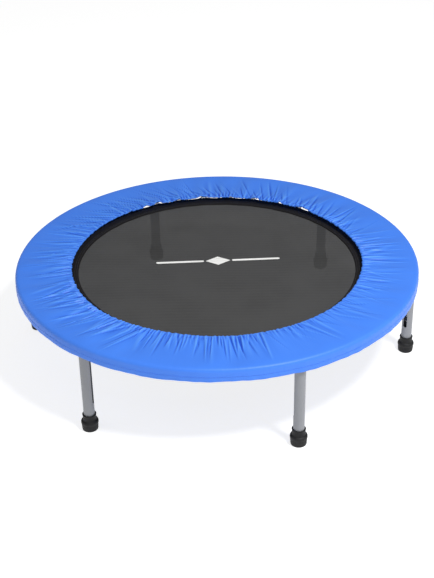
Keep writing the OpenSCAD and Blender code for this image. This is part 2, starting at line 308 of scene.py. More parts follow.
# Moulded rubber: matt black, with the fine grain of a sand-blasted mould and a little dust
rubberLook = {"clean": "161617", "dusty": "262627", "roughness": 0.6, "grainMm": 0.9}


def mouldedRubber(name):
    # Tone runs from clean to dusty with a broad noise, and a fine noise is the bump
    material, tree, shader = newMaterial(name, rubberLook["clean"], rubberLook["roughness"],
                                         {"Specular IOR Level": 0.3})
    place = addNode(tree, "ShaderNodeTexCoord").outputs["Object"]
    grain = addNode(tree, "ShaderNodeTexNoise", {"Scale": 1000 / rubberLook["grainMm"], "Detail": 3.0},
                    {"Vector": place})
    dust = addNode(tree, "ShaderNodeTexNoise", {"Scale": 60.0, "Detail": 5.0, "Roughness": 0.65},
                   {"Vector": place})
    tone = addNode(tree, "ShaderNodeValToRGB", None, {"Fac": dust.outputs["Fac"]})
    tone.color_ramp.elements[0].position, tone.color_ramp.elements[1].position = 0.35, 0.75
    tone.color_ramp.elements[0].color = linear(rubberLook["clean"])
    tone.color_ramp.elements[1].color = linear(rubberLook["dusty"])
    tree.links.new(tone.outputs["Color"], shader.inputs["Base Color"])
    bump = addNode(tree, "ShaderNodeBump", {"Strength": 0.25, "Distance": 0.0003},
                   {"Height": grain.outputs["Fac"]})
    tree.links.new(bump.outputs["Normal"], shader.inputs["Normal"])
    return material


# Two crossed sets of threads. The height of each is half of 1 plus the sine of the distance across it.
def weaveHeight(tree, vector, pitch, turn=0.0):
    spun = addNode(tree, "ShaderNodeMapping", None, {"Vector": vector})
    spun.inputs["Rotation"].default_value[2] = turn
    parts = addNode(tree, "ShaderNodeSeparateXYZ", None, {"Vector": spun.outputs["Vector"]})
    waves = []
    for axisName in ("X", "Y"):
        scaled = addNode(tree, "ShaderNodeMath", {"operation": "MULTIPLY", 1: 2 * math.pi / pitch},
                         {0: parts.outputs[axisName]})
        wave = addNode(tree, "ShaderNodeMath", {"operation": "SINE"}, {0: scaled.outputs[0]})
        waves.append(addNode(tree, "ShaderNodeMath", {"operation": "MULTIPLY_ADD", 1: 0.5, 2: 0.5},
                             {0: wave.outputs[0]}))
    return waves


# Woven polypropylene mesh: flat dark threads with small open holes, dull and a little see-through. The
# real thread spacing is near 1 mm, and it is drawn 2.4 mm so that the weave shows at this size.
meshLook = {"colour": "3c3c3c", "ink": "f4f4f2", "threadMm": 2.4, "barMm": 12.5,
            "open": 0.04, "inkOpen": 0.02}


def wovenMesh(name, colour, opening):
    # Height = the higher thread. Tone = colour times 0.78 to 1.1 with clouds + 0.1 bars + 0.5 height, and
    # the cloth is see-through by twice the opening where both threads are at their lowest.
    material, tree, shader = newMaterial(name, colour, 0.7, {"Specular IOR Level": 0.2})
    place = addNode(tree, "ShaderNodeTexCoord").outputs["Object"]
    warp, weft = weaveHeight(tree, place, meshLook["threadMm"] / 1000, 0.05)
    height = addNode(tree, "ShaderNodeMath", {"operation": "MAXIMUM"},
                     {0: warp.outputs[0], 1: weft.outputs[0]})
    cloud = addNode(tree, "ShaderNodeTexNoise", {"Scale": 9.0, "Detail": 3.0}, {"Vector": place})
    # rows that were beaten up a little tighter drift with the cloth and show as faint bars
    drift = addNode(tree, "ShaderNodeTexNoise", {"Scale": 3.0, "Detail": 1.0}, {"Vector": place})
    parts = addNode(tree, "ShaderNodeSeparateXYZ", None, {"Vector": place})
    moved = addNode(tree, "ShaderNodeMath", {"operation": "MULTIPLY_ADD", 1: 0.03},
                    {0: drift.outputs["Fac"], 2: parts.outputs["Y"]})
    scaled = addNode(tree, "ShaderNodeMath", {"operation": "MULTIPLY", 1: 2000 * math.pi / meshLook["barMm"]},
                     {0: moved.outputs[0]})
    bars = addNode(tree, "ShaderNodeMath", {"operation": "SINE"}, {0: scaled.outputs[0]})
    mixed = addNode(tree, "ShaderNodeMath", {"operation": "MULTIPLY_ADD", 1: 0.10},
                    {0: bars.outputs[0], 2: cloud.outputs["Fac"]})
    # the height part of the tone is painted shade, darker down between the threads and lighter on their tops;
    # the clouds and bars are the cloth's own tone
    total = addNode(tree, "ShaderNodeMath", {"operation": "MULTIPLY_ADD", 1: 0.5},
                    {0: height.outputs[0], 2: mixed.outputs[0]})
    base = linear(colour)
    tone = addNode(tree, "ShaderNodeValToRGB", None, {"Fac": total.outputs[0]})
    tone.color_ramp.elements[0].position, tone.color_ramp.elements[1].position = 0.55, 1.15
    tone.color_ramp.elements[0].color = tuple(c * 0.78 for c in base[:3]) + (1,)
    tone.color_ramp.elements[1].color = tuple(min(1, c * 1.1) for c in base[:3]) + (1,)
    tree.links.new(tone.outputs["Color"], shader.inputs["Base Color"])
    bump = addNode(tree, "ShaderNodeBump", {"Strength": 0.5, "Distance": 0.0004},
                   {"Height": height.outputs[0]})
    tree.links.new(bump.outputs["Normal"], shader.inputs["Normal"])
    hole = addNode(tree, "ShaderNodeMapRange",
                   {"From Min": 0.0, "From Max": 1.0, "To Min": 1 - 2 * opening, "To Max": 1.0},
                   {"Value": height.outputs[0]})
    tree.links.new(hole.outputs["Result"], shader.inputs["Alpha"])
    return material


# Polyester webbing and elastic: dull, with close ribs. UV is metres along and across the band.
webbingLook = {"band": "151314", "elastic": "26282c", "ribMm": 2.2}


def webbing(name, colour):
    # Height = weft + 0.6 warp, and tone = colour times 0.7 to 1.25 with the height: painted shade between the
    # ribs and a painted highlight on their tops
    material, tree, shader = newMaterial(name, colour, 0.7, {"Specular IOR Level": 0.2})
    place = addNode(tree, "ShaderNodeUVMap", {"uv_map": "UVMap"}).outputs["UV"]
    warp, weft = weaveHeight(tree, place, webbingLook["ribMm"] / 1000)
    height = addNode(tree, "ShaderNodeMath", {"operation": "MULTIPLY_ADD", 1: 0.6},
                     {0: warp.outputs[0], 2: weft.outputs[0]})
    base = linear(colour)
    tone = addNode(tree, "ShaderNodeValToRGB", None, {"Fac": height.outputs[0]})
    tone.color_ramp.elements[0].color = tuple(c * 0.7 for c in base[:3]) + (1,)
    tone.color_ramp.elements[1].color = tuple(c * 1.25 for c in base[:3]) + (1,)
    tree.links.new(tone.outputs["Color"], shader.inputs["Base Color"])
    bump = addNode(tree, "ShaderNodeBump", {"Strength": 0.5, "Distance": 0.0005},
                   {"Height": height.outputs[0]})
    tree.links.new(bump.outputs["Normal"], shader.inputs["Normal"])
    return material


# Coated polyester taffeta: a tight plain weave under a thin coating, bright blue, satin, with fine
# puckers that run out from the hem. UV is metres round the cover and metres out from its inner edge.
# The real threads are near 0.2 mm apart, and they are drawn 0.9 mm so that they can show close up.
# the crease colour is painted shade in the folds and the ridge colour is a painted highlight on them
coverCloth = {"colour": "4586f5", "creaseShade": "1f55c8", "ridgeHighlight": "5c9efb", "roughness": 0.48, "weaveMm": 0.9}


def coatedPolyester(name, colour):
    # Colour = soft clouds times a painted shade that runs from a painted crease shadow through the colour to
    # a painted ridge highlight with the depth of the fold; the bump is long puckers with the weave over them
    material, tree, shader = newMaterial(name, colour, coverCloth["roughness"],
                                         {"Specular IOR Level": 0.35, "Sheen Weight": 0.06,
                                          "Sheen Roughness": 0.35})
    place = addNode(tree, "ShaderNodeUVMap", {"uv_map": "UVMap"}).outputs["UV"]
    warp, weft = weaveHeight(tree, place, coverCloth["weaveMm"] / 1000)
    weave = addNode(tree, "ShaderNodeMath", {"operation": "MAXIMUM"},
                    {0: warp.outputs[0], 1: weft.outputs[0]})
    stretched = addNode(tree, "ShaderNodeMapping", {"Scale": (90.0, 9.0, 1.0)}, {"Vector": place})
    pucker = addNode(tree, "ShaderNodeTexNoise", {"Scale": 1.0, "Detail": 3.0, "Roughness": 0.55},
                     {"Vector": stretched.outputs["Vector"]})
    cloud = addNode(tree, "ShaderNodeTexNoise", {"Scale": 7.0, "Detail": 2.0}, {"Vector": place})
    tone = addNode(tree, "ShaderNodeValToRGB", None, {"Fac": cloud.outputs["Fac"]})
    tone.color_ramp.elements[0].position, tone.color_ramp.elements[1].position = 0.3, 0.7
    tone.color_ramp.elements[0].color = (0.92, 0.92, 0.94, 1)
    tone.color_ramp.elements[1].color = (1, 1, 1, 1)
    # painted shade darkens the creases and a painted highlight lightens the ridges
    depth = addNode(tree, "ShaderNodeAttribute", {"attribute_name": "foldDepth"})
    wearAndPaintedShade = addNode(tree, "ShaderNodeMapRange", {"From Min": -1.0, "From Max": 1.0},
                   {"Value": depth.outputs["Fac"]})
    shade = addNode(tree, "ShaderNodeValToRGB", None, {"Fac": wearAndPaintedShade.outputs["Result"]})
    shade.color_ramp.elements[0].color = linear(coverCloth["creaseShade"])
    shade.color_ramp.elements[1].color = linear(coverCloth["ridgeHighlight"])
    level = shade.color_ramp.elements.new(0.6)
    level.color = linear(colour)
    tinted = addNode(tree, "ShaderNodeMix", {"data_type": "RGBA", "blend_type": "MULTIPLY"})
    tinted.inputs["Factor"].default_value = 1.0
    tree.links.new(tone.outputs["Color"], tinted.inputs[6])
    tree.links.new(shade.outputs["Color"], tinted.inputs[7])
    tree.links.new(tinted.outputs[2], shader.inputs["Base Color"])
    puckerBump = addNode(tree, "ShaderNodeBump", {"Strength": 0.5, "Distance": 0.0016},
                         {"Height": pucker.outputs["Fac"]})
    bump = addNode(tree, "ShaderNodeBump", {"Strength": 0.15, "Distance": 0.0002},
                   {"Height": weave.outputs[0], "Normal": puckerBump.outputs["Normal"]})
    tree.links.new(bump.outputs["Normal"], shader.inputs["Normal"])
    return material


# Sewing thread: polyester, soft and dull, with the small bumps of its twist
def sewingThread(name, colour):
    material, tree, shader = newMaterial(name, colour, 0.6, {"Sheen Weight": 0.1})
    place = addNode(tree, "ShaderNodeTexCoord").outputs["Object"]
    twist = addNode(tree, "ShaderNodeTexNoise", {"Scale": 2500.0, "Detail": 1.0}, {"Vector": place})
    bump = addNode(tree, "ShaderNodeBump", {"Strength": 0.3, "Distance": 0.0002},
                   {"Height": twist.outputs["Fac"]})
    tree.links.new(bump.outputs["Normal"], shader.inputs["Normal"])
    return material


paintedTube = powderCoat("powder-coated steel tube", steelPaint["colour"])
paintedPin = powderCoat("painted steel pin", steelPaint["pinColour"])
springWire = zincWire("zinc-plated spring wire", "c3c6ca", 0.28)
loopWire = zincWire("zinc-plated ring wire", "a9acb0", 0.36)
legSpringWire = zincWire("bright zinc-plated wire", "e6e8ea", 0.5)
footRubber = mouldedRubber("moulded black rubber")
matCloth = wovenMesh("woven polypropylene mesh", meshLook["colour"], meshLook["open"])
inkCloth = wovenMesh("white screen ink on mesh", meshLook["ink"], meshLook["inkOpen"])
bandCloth = webbing("black polyester webbing", webbingLook["band"])
elasticCloth = webbing("black woven elastic", webbingLook["elastic"])
coverFabric = coatedPolyester("coated polyester taffeta", coverCloth["colour"])
blueThread = sewingThread("blue sewing thread", "3f78e4")
blackThread = sewingThread("black sewing thread", "303033")
print("materials made")


# CAD nodes that stay, with their finish
for nodeName, node in frame["nodes"].items():
    finish = None
    if nodeName.startswith(("frame_ring", "leg_tube", "leg_bracket")):
        finish = paintedTube
    elif nodeName.startswith(("leg_pivot_pin", "leg_anchor_pin")):
        finish = paintedPin
    if finish:
        node.data.materials.clear()
        node.data.materials.append(finish)


coverSize = {
    "innerRadius": matRadius - 0.026, "hemWidth": 0.014, "hemFold": 0.0022, "corner": 0.008,
    "around": 2100, "gatherHeight": 0.0013, "seed": 11,
    # folds by sector: first and last direction in degrees, count, height and width in mm, shortest and
    # longest share of the cover's width, lean (sideways run per outward run), share of them that are creases
    "folds": ((245, 285, 32, 3.2, 2.0, 0.3, 0.9, 0.0, 0.75), (285, 328, 9, 2.4, 2.2, 0.4, 0.95, 0.5, 0.7),
              (-30, 15, 24, 2.2, 2.0, 0.5, 1.0, 0.0, 0.25), (15, 75, 22, 4.2, 2.1, 0.4, 0.95, 0.45, 0.95),
              (75, 105, 17, 3.6, 2.2, 0.4, 1.0, 0.5, 0.8), (105, 150, 28, 3.4, 2.4, 0.5, 1.1, 0.8, 0.7),
              (150, 205, 36, 2.6, 2.1, 0.45, 1.1, 0.2, 0.45),
              (205, 245, 20, 3.0, 2.2, 0.45, 1.1, -0.35, 0.35),
              (0, 360, 240, 1.0, 1.5, 0.15, 0.5, 0.0, 0.5), (0, 360, 36, 1.2, 6.0, 0.5, 1.1, 0.1, 0.0)),
    # places where the inner edge arches up off the mat: direction and half width in degrees, height in mm
    "lifts": ((129.5, 0.9, 3.0), (121.5, 1.3, 5.2), (116, 1.9, 7.6), (106.5, 1.4, 4.4), (96, 2.6, 5.0),
              (83.5, 1.3, 2.8), (72.5, 2.0, 5.2), (61, 1.1, 4.2), (49.5, 3.2, 6.4)),
    # the inner hem hangs lower by droop, and the cloth sags between ring and hem by sag over sagWidth
    "droop": 0.0018, "sag": 0.0016, "sagWidth": 0.11, "swell": 0.0005,
    # folds with fewer waves than this round the cover get no painted shade and no painted highlight in the
    # cloth's colour
    "paintedShadeFrom": 60, "paintedShadeDepth": 0.0014,
}


def coverWrinkles(angle, reach):
    # Height of the cloth over its plain surface. It is a sum of three things: fine gathers, which are
    # sines round the hem that die out over 20 mm; separate folds that start at the hem, lean a little and
    # die out at their own length, each a round ridge or a sharp crease with a soft ridge beside it; and
    # long soft swells.
    rng = np.random.default_rng(coverSize["seed"])
    width = coverRadius - coverSize["innerRadius"]
    out = np.clip(reach / width, 0, 1)
    height = np.zeros(np.broadcast(angle, reach).shape)
    for count in rng.integers(150, 330, 9):
        height += np.sin(count * angle + rng.uniform(0, 2 * np.pi)) / 3
    height *= coverSize["gatherHeight"] * (0.3 + 0.7 * smooth(reach / 0.008))
    height *= np.exp(-np.maximum(reach - 0.008, 0) / 0.013)
    radius = coverSize["innerRadius"] + reach
    for first, last, count, tall, wide, shortest, longest, leaning, creased in coverSize["folds"]:
        steps = (np.arange(count) + rng.uniform(0.1, 0.9, count)) / count
        for start in np.radians(first + (last - first) * steps):
            length = rng.uniform(shortest, longest)
            lean = leaning + rng.normal(0, 0.12)
            spread = 0.001 * wide * rng.uniform(0.65, 1.4)
            rise = 0.001 * tall * rng.uniform(0.45, 1.0)
            side = rng.choice([-1, 1])
            across = ((angle - start - lean * reach / radius + np.pi) % (2 * np.pi) - np.pi) * radius
            x = across / (spread * (1 - 0.35 * np.clip(out / length, 0, 1)))
            if rng.uniform() < creased:
                shape = 0.55 * np.exp(-((x - 1.3 * side) / 1.1) ** 2) - np.exp(-np.abs(x * 1.15) ** 1.4)
            else:
                shape = np.exp(-x ** 2) - 0.4 * np.exp(-((x - 1.6 * side) / 1.2) ** 2)
            height += rise * shape * smooth((1 - out / length) * 1.8) * smooth((reach + 0.002) / 0.012)
    for count in rng.integers(14, 46, 8):
        swell = np.sin(count * angle + rng.uniform(0, 2 * np.pi) + 9 * reach) * np.sin(np.pi * out) ** 0.5
        height += coverSize["swell"] * swell
    return height * smooth((width - reach) / 0.03)


def coverProfile():
    # The section as (radius, height, place along the cloth), from the hem's flap, round the inner fold,
    # out over the top, round the corner, down the skirt, round the lower fold and up inside it
    fold, corner = coverSize["hemFold"], coverSize["corner"]
    flap = coverSize["hemWidth"] - fold
    inner = coverSize["innerRadius"] + fold
    turn = np.linspace(0, 1, 7)[1:-1]
    flat = coverRadius - corner - inner
    steps = flat * np.linspace(0, 1, 21) ** 1.35
    pieces = [
        (inner + flap * np.linspace(1, 0, 3), np.full(3, coverTop - 2 * fold)),
        (inner - fold * np.sin(np.pi * turn), coverTop - fold - fold * np.cos(np.pi * turn)),
        (inner + steps, np.full(len(steps), coverTop)),
        (coverRadius - corner + corner * np.sin(np.pi / 2 * turn),
         coverTop - corner + corner * np.cos(np.pi / 2 * turn)),
        (np.full(5, coverRadius), np.linspace(coverTop - corner, coverHem + fold, 5)),
        (coverRadius - fold + fold * np.cos(np.pi * turn), coverHem + fold - fold * np.sin(np.pi * turn)),
        (np.full(3, coverRadius - 2 * fold), coverHem + fold + flap * np.linspace(0, 1, 3)),
    ]
    radius = np.concatenate([p[0] for p in pieces])
    height = np.concatenate([p[1] for p in pieces])
    steps = np.hypot(np.diff(radius), np.diff(height))
    return radius, height, np.concatenate([[0], np.cumsum(steps)])


def coverPoints(angle, radius, height):
    # The plain section, swept round, with wrinkles upwards on top and ripples outwards on the skirt
    reach = np.maximum(radius - coverSize["innerRadius"], 0)
    top = smooth((height - coverTop + 0.0075) / 0.003)
    skirt = 1 - smooth((height - coverHem) / (coverTop - coverHem - 0.004))
    rng = np.random.default_rng(coverSize["seed"] + 1)
    edge, ripple, lower = (np.zeros(np.shape(angle)) for _ in range(3))
    for count in rng.integers(60, 260, 10):
        edge += 0.00032 * np.sin(count * angle + rng.uniform(0, 2 * np.pi))
    for count in rng.integers(3, 9, 3):
        edge += 0.0008 * np.sin(count * angle + rng.uniform(0, 2 * np.pi))
    for count in rng.integers(20, 110, 8):
        ripple += 0.00012 * np.sin(count * angle + rng.uniform(0, 2 * np.pi))
    for count in rng.integers(6, 30, 6):
        lower += 0.0003 * np.sin(count * angle + rng.uniform(0, 2 * np.pi))
    rise = coverWrinkles(angle, reach) * top
    for direction, width, tall in coverSize["lifts"]:
        away = (np.degrees(angle) - direction + 180) % 360 - 180
        rise = rise + 0.001 * tall * np.exp(-(away / width) ** 2) * np.exp(-reach / 0.022) * top
    sag = -coverSize["sag"] * np.sin(np.pi * np.clip(reach / coverSize["sagWidth"], 0, 1)) * top
    sag -= coverSize["droop"] * np.exp(-reach / 0.018) * top
    shift = edge * np.exp(-reach / 0.012) * top + ripple * skirt
    return polar(radius + shift, angle, height + rise + sag + lower * skirt)


profileRadius, profileHeight, profileAlong = coverProfile()
coverAngles = np.linspace(0, 2 * np.pi, coverSize["around"], endpoint=False)
coverGrid = coverPoints(coverAngles[None, :], profileRadius[:, None], profileHeight[:, None])
# how deep each point lies in a narrow fold, which sets the painted crease shade and ridge highlight: its
# height less the part that has few waves round the cover
waves = np.fft.rfft(coverGrid[..., 2], axis=1)
waves[:, :coverSize["paintedShadeFrom"]] = 0
foldDepth = np.fft.irfft(waves, coverSize["around"], axis=1) * (profileHeight > coverTop - 0.001)[:, None]
foldDepth = np.clip(foldDepth / coverSize["paintedShadeDepth"] + 0.2, -1, 1)
seamAngles = np.linspace(0, 2 * np.pi, coverSize["around"] + 1)
coverUv = np.stack(np.broadcast_arrays(seamAngles[None, :] * 0.42, profileAlong[:, None]), axis=-1)
cover = gridMesh("coverSheet", coverGrid, coverFabric, flip=True, uv=coverUv)
depthLayer = cover.data.attributes.new("foldDepth", "FLOAT", "POINT")
depthLayer.data.foreach_set("value", foldDepth.astype(np.float32).ravel())
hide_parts("cover")
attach(cover, "frame")
print("cover made:", len(cover.data.polygons), "faces")


# stitches through the hems, in metres; each row is its count and the length of a stitch
stitchSize = {"thread": 0.00032, "lift": 0.0002, "fromHem": 0.0125,
              "inner": (420, 0.0036), "lower": (560, 0.0038)}


def coverStitches(name, countLength, radius, height, outwards):
    # A row of stitches that follows the wrinkled cloth at one radius or height
    (count, length), lift = countLength, stitchSize["lift"]
    starts = np.linspace(0, 2 * np.pi, count, endpoint=False)
    first = coverPoints(starts, np.full(count, radius), np.full(count, height))
    last = coverPoints(starts + length / radius, np.full(count, radius), np.full(count, height))
    out = polar(1.0, starts, 0.0) if outwards else np.array([0.0, 0.0, 1.0])
    row = stitchRow(name, first + lift * out, last + lift * out, stitchSize["thread"], blueThread)
    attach(row, "frame")
    return row


innerStitches = coverStitches("coverInnerStitches", stitchSize["inner"],
                              coverSize["innerRadius"] + stitchSize["fromHem"], coverTop, False)
lowerStitches = coverStitches("coverLowerStitches", stitchSize["lower"],
                              coverRadius, coverHem + stitchSize["fromHem"], True)


# the elastic's near and far edge from the hem's fold, and half its thickness
elasticSize = {"near": 0.0022, "far": 0.0102, "half": 0.0006}


def hemElastic(name, radii, heights, replaced):
    # A flat ribbon inside a hem: its four-sided section is carried round by the same function as the cloth
    grid = coverPoints(coverAngles[None, :], np.array(radii)[:, None], np.array(heights)[:, None])
    along = np.array([0, 0.008, 0.009, 0.017])
    uv = np.stack(np.broadcast_arrays(seamAngles[None, :] * 0.42, np.append(along, 0.018)[:, None]), axis=-1)
    ribbon = gridMesh(name, grid, elasticCloth, along=True, uv=uv)
    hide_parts(replaced)
    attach(ribbon, "frame")


acrossRibbon = np.array([elasticSize[key] for key in ("near", "far", "far", "near")])
throughRibbon = elasticSize["half"] * np.array([1, 1, -1, -1])
hemElastic("innerHemElastic", coverSize["innerRadius"] + acrossRibbon,
           coverTop - coverSize["hemFold"] + throughRibbon, "cover_inner_elastic")
hemElastic("outerHemElastic", coverRadius - coverSize["hemFold"] + throughRibbon,
           coverHem + acrossRibbon, "cover_outer_elastic")


matSize = {"sag": 0.0012, "rings": 40, "around": 540, "bandWidth": 0.041, "springs": 36, "firstSpring": 5}


def matHeightAt(radius, angle):
    # A shallow dish, with a small ripple at each spring that dies out inwards
    reach = radius / matRadius
    pull = np.cos(matSize["springs"] * (angle - math.radians(matSize["firstSpring"])))
    return matHeight - matSize["sag"] * (1 - reach ** 2) + 0.0005 * pull * np.clip(reach - 0.75, 0, 1) * 4


matAngles = np.linspace(0, 2 * np.pi, matSize["around"], endpoint=False)[None, :]
meshRadii = np.linspace(0, meshRadius, matSize["rings"])[:, None]
meshGrid = polar(meshRadii, matAngles, matHeightAt(meshRadii, matAngles))
matMesh = gridMesh("matMeshSheet", meshGrid, matCloth, flip=True, weld=True)
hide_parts("mat_mesh")
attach(matMesh, "mat")


def bandGrid():
    # A flat loop of webbing, 4 mm thick with rounded edges. Its outer edge is drawn out at each spring.
    half, soft = (bandHigh.z - bandLow.z) / 2, 0.0014
    width = matSize["bandWidth"]
    inner = matRadius - width
    quarter = np.radians([0, 30, 60, 90])
    right, left, edge = width - soft, soft, half - soft
    rise, fall = soft * np.sin(quarter)[1:], soft * np.cos(quarter)[1:]
    x = np.concatenate([np.linspace(left, right, 9), right + rise, right + fall,
                        np.linspace(right, left, 9)[1:], left - rise, left - fall[:-1]])
    z = np.concatenate([np.full(9, half), edge + fall, -edge - rise,
                        np.full(8, -half), -edge - fall, edge + rise[:-1]])
    pull = np.cos(matSize["springs"] * (matAngles - math.radians(matSize["firstSpring"])))
    radius = inner + x[:, None] - 0.0011 * (1 - pull) * np.clip(x[:, None] / width - 0.6, 0, 1) * 2.5
    height = matHeightAt(radius, matAngles) + z[:, None]
    around = np.linspace(0, 2 * np.pi, matSize["around"] + 1)[None, :] * matRadius
    along = np.concatenate([[0], np.cumsum(np.hypot(np.diff(x, append=x[0]), np.diff(z, append=z[0])))])
    return polar(radius, matAngles, height), np.stack(np.broadcast_arrays(around, along[:, None]), axis=-1)


bandPoints, bandUv = bandGrid()
matBand = gridMesh("matEdgeWebbing", bandPoints, bandCloth, along=True, flip=True, uv=bandUv)
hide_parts("mat_band")
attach(matBand, "mat")

# rows of stitches: distance from the band's inner edge, and count
bandSewing = {"rows": ((0.004, 380), (0.009, 392), (0.030, 430), (0.035, 440)),
              "length": 0.0038, "thread": 0.00035}
bandRows = []
for offset, count in bandSewing["rows"]:
    rowRadius = matRadius - matSize["bandWidth"] + offset
    starts = np.linspace(0, 2 * np.pi, count, endpoint=False)
    ends = starts + bandSewing["length"] / rowRadius
    lift = (bandHigh.z - bandLow.z) / 2 + 0.0001
    first, last = [polar(rowRadius, turn, matHeightAt(rowRadius, turn) + lift) for turn in (starts, ends)]
    row = stitchRow(f"bandStitches{len(bandRows) + 1}", first, last, bandSewing["thread"], blackThread)
    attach(row, "mat")
    bandRows.append(row)


# the mark printed on the mat: a plain lozenge between two bars
markSize = {"length": 0.300, "bar": 0.116, "thick": 0.0085, "lozenge": (0.030, 0.021),
            "place": (0.003, 0.021), "turn": 2.6}


def printedShape(name, outline):
    # A fan of rings from the shape's middle to its outline, laid just over the mesh
    middle = outline.mean(axis=0)
    steps = np.linspace(0, 1, 6)[:, None, None]
    flat = middle + steps * (outline[None] - middle)
    turn = math.radians(markSize["turn"])
    x = markSize["place"][0] + flat[..., 0] * math.cos(turn) - flat[..., 1] * math.sin(turn)
    y = markSize["place"][1] + flat[..., 0] * math.sin(turn) + flat[..., 1] * math.cos(turn)
    z = matHeightAt(np.hypot(x, y), np.arctan2(y, x)) + 0.00018
    piece = gridMesh(name, np.stack([x, y, z], axis=-1), inkCloth, flip=True, weld=True)
    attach(piece, "mat")
    return piece


def roundedBar(centre, length, thick):
    # A straight bar with round ends
    turn = np.linspace(-np.pi / 2, np.pi / 2, 13)
    end = np.stack([length / 2 - thick / 2 + thick / 2 * np.cos(turn), thick / 2 * np.sin(turn)], axis=-1)
    return np.concatenate([end, -end]) + np.array([centre, 0.0])


barCentre = markSize["length"] / 2 - markSize["bar"] / 2
longRadius, shortRadius = markSize["lozenge"]
lozengeTurn = np.linspace(0, 2 * np.pi, 40, endpoint=False)
squeeze = 1 / (np.abs(np.cos(lozengeTurn)) + np.abs(np.sin(lozengeTurn)))
lozenge = np.stack([longRadius * squeeze * np.cos(lozengeTurn),
                    shortRadius * squeeze * np.sin(lozengeTurn)], axis=-1)
printedShape("printedBarLeft", roundedBar(-barCentre, markSize["bar"], markSize["thick"]))
printedShape("printedBarRight", roundedBar(barCentre, markSize["bar"], markSize["thick"]))
printedShape("printedLozenge", lozenge)
print("mat made")


# springs and the triangular rings that they pull on
hookSize = {"wire": 0.0011, "coil": 0.00515, "eye": 0.003, "reach": 0.011, "hook": 0.006, "bend": 0.00286,
            "pitch": 0.0024, "loopWire": 0.0013, "loopBend": 0.0035, "loopDepth": 0.007, "loopBase": 0.028}
springAngles = [math.radians(matSize["firstSpring"] + k * 360 / matSize["springs"])
                for k in range(matSize["springs"])]


def triangleRing():
    # A triangle with round corners, in the XY plane: three arcs, with straight runs between them
    bend = hookSize["loopBend"]
    tip = (matRadius + hookSize["reach"] - bend, 0.0)
    foot = (matRadius - hookSize["loopDepth"] + bend, hookSize["loopBase"] / 2 - bend)
    side = math.degrees(math.atan2(tip[0] - foot[0], foot[1]))
    arcs = []
    for centre, start, end in ((tip, -side, side), (foot, side, 180), ((foot[0], -foot[1]), 180, 360 - side)):
        turn = np.radians(np.linspace(start, end, 9))
        arcs.append(np.stack([centre[0] + bend * np.cos(turn), centre[1] + bend * np.sin(turn),
                              np.full(9, matHeight)], axis=-1))
    return np.concatenate(arcs)


loopGrid = tubeGrid(triangleRing(), hookSize["loopWire"], sides=8, closed=True)
loopGrids = copies(loopGrid, np.array([turned(a) for a in springAngles]))
loops = manyGrids("matTriangleRings", loopGrids, loopWire, along=True)
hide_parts("mat_loops")
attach(loops, "mat")


def matSpringPath():
    # In the XZ plane of one spring: an eye round the triangle's tip, a helix along X whose radius grows
    # from and shrinks back to the axis, a bend upwards and a half turn that drops into the ring
    eyeX = matRadius + hookSize["reach"]
    holeX = ringRadius - tubeRadius * math.cos(math.radians(45))
    holeZ = ringHeight + tubeRadius * math.sin(math.radians(45))
    hookX, hookZ = [v - hookSize["hook"] * math.cos(math.radians(45)) for v in (holeX, holeZ)]
    riseX = hookX - hookSize["hook"]
    first, last = eyeX + hookSize["eye"], riseX - hookSize["bend"]
    turns = round((last - first) / hookSize["pitch"])
    t = np.linspace(0, 1, turns * 12 + 1)
    reach = hookSize["coil"] * smooth(t * turns / 0.7) * smooth((1 - t) * turns / 0.7)
    helix = np.stack([first + (last - first) * t, reach * np.sin(2 * np.pi * turns * t),
                      matHeight + reach * np.cos(2 * np.pi * turns * t)], axis=-1)
    eye = arcPath((eyeX, matHeight), hookSize["eye"], 50, 352, 20)
    bend = arcPath((last, matHeight + hookSize["bend"]), hookSize["bend"], 285, 360, 5)
    hook = arcPath((hookX, hookZ), hookSize["hook"], 180, -10, 17)
    return np.concatenate([eye, helix, bend, hook])


springGrid = tubeGrid(matSpringPath(), hookSize["wire"], sides=8)
for k, angle in enumerate(springAngles):
    spring = manyGrids(f"matSpring{k + 1:02d}", copies(springGrid, turned(angle)[None]), springWire)
    start = polar(ringRadius - tubeRadius - 0.007, angle, matHeight)
    end = polar(matRadius + hookSize["reach"], angle, matHeight)
    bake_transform(spring)
    if k == 0:
        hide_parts("mat_springs")
print("springs made")


# a leg's foot, in metres; the out sizes are beyond the leg's tube
footSize = {"height": 0.0405, "floor": 0.006, "base": 0.015, "rim": 0.009, "rimOut": 0.007, "baseOut": 0.006,
            "soleOut": 0.005, "wall": 0.0025, "around": 64}


def footProfile():
    # From the middle of the sole: two tread rings, a chamfer, a ribbed taper, the round rim, a waist,
    # the collar with a rolled lip, and the bore down to the floor of the cup
    s = footSize
    sole, base, rim = legRadius + s["soleOut"], legRadius + s["baseOut"], legRadius + s["rimOut"]
    collar, bore = legRadius + s["wall"], legRadius + 0.0001
    tread = [(0, 0.0006), (0.0045, 0.0006), (0.0052, 0), (0.0085, 0), (0.0092, 0.0006), (0.0115, 0.0006),
             (0.0122, 0), (sole - 0.0008, 0), (sole, 0.0007)]
    taper = []
    for z in np.linspace(0.0022, s["base"] - 0.001, 13):
        taper.append((sole + (base - sole) * z / s["base"] + 0.00025 * math.cos(z / 0.0034 * 2 * math.pi), z))
    middle, half = s["base"] + s["rim"] / 2, s["rim"] / 2
    bulge = [(rim - 0.0026 * (1 - math.cos(a)), middle + half * math.sin(a) / math.sin(1.1))
             for a in np.linspace(-1.1, 1.1, 11)]
    low, top = s["base"] + s["rim"], s["height"]
    waist = [(collar + 0.0009, low + 0.0006), (collar + 0.0003, low + 0.002), (collar, low + 0.006),
             (collar, top - 0.003), (collar + 0.0004, top - 0.0022), (collar + 0.0006, top - 0.0012),
             (collar + 0.0003, top - 0.0003), (collar - 0.0008, top), (bore + 0.0004, top - 0.0002),
             (bore, top - 0.0008)]
    cup = [(bore, s["floor"] + 0.0005), (bore - 0.0005, s["floor"]), (0, s["floor"])]
    return np.array(tread + taper + bulge + waist + cup)


